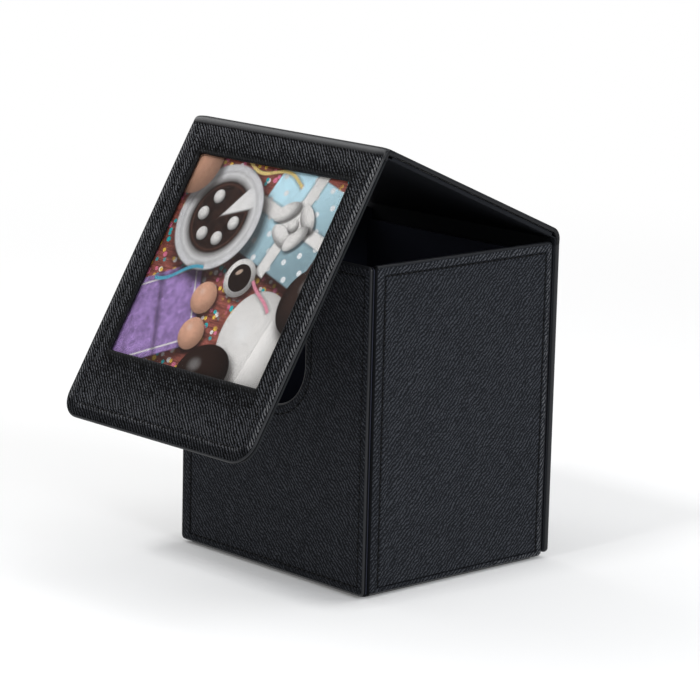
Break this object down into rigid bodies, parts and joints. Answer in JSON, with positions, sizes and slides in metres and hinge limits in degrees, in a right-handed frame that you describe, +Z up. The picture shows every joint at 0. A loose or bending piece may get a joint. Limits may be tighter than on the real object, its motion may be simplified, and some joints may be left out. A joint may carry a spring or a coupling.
{
  "type": "photo storage box",
  "caption": "Upright leather covered box for square instant prints, with a thumb notch in front and a folding cover whose flap shows a print in a window.",
  "frame": {"origin": "middle of the underside, on the surface that the box stands on", "axes": "+X to the right across the front wall, +Y from the front wall to the back, +Z up"},
  "size_m": [0.082, 0.1198, 0.1276],
  "materials": {
    "leather": "grained artificial leather, black, satin",
    "lining": "fine lining, black",
    "board": null,
    "plate": "thin steel",
    "magnet": "plated magnet",
    "film": "clear film",
    "print": "instant print"
  },
  "bodies": {
    "box": {"base_board": "board", "base_sheet": "leather", "floor_lining": "lining", "front_board": "board", "front_cover": "leather", "front_lining": "lining", "catch_plates": "plate", "left_board": "board", "left_cover": "leather", "left_lining": "lining", "right_board": "board", "right_cover": "leather", "right_lining": "lining", "back_board": "board", "back_lining": "lining", "spine_board": "board", "spine_cover": "leather", "spine_lining": "lining", "back_hinge_leather": "leather", "back_hinge_lining": "lining"},
    "lid": {"lid_board": "board", "lid_cover": "leather", "lid_lining": "lining", "ridge_hinge_leather": "leather", "ridge_hinge_lining": "lining"},
    "flap": {"flap_board": "board", "flap_cover": "leather", "flap_lining": "lining", "flap_magnets": "magnet", "window_film": "film", "photo_print": "print"}
  },
  "joints": [
    {"name": "lid_hinge", "type": "hinge", "parent": "box", "child": "lid", "pos_m": [0, 0.03785, 0.0957], "axis": [-1, 0, 0], "range_deg": [-23, 157], "deforming": ["back_hinge_leather", "back_hinge_lining"]},
    {"name": "flap_hinge", "type": "hinge", "parent": "lid", "child": "flap", "pos_m": [0, -0.03151, 0.12732], "axis": [-1, 0, 0], "range_deg": [-8, 82], "deforming": ["ridge_hinge_leather", "ridge_hinge_lining"]}
  ]
}
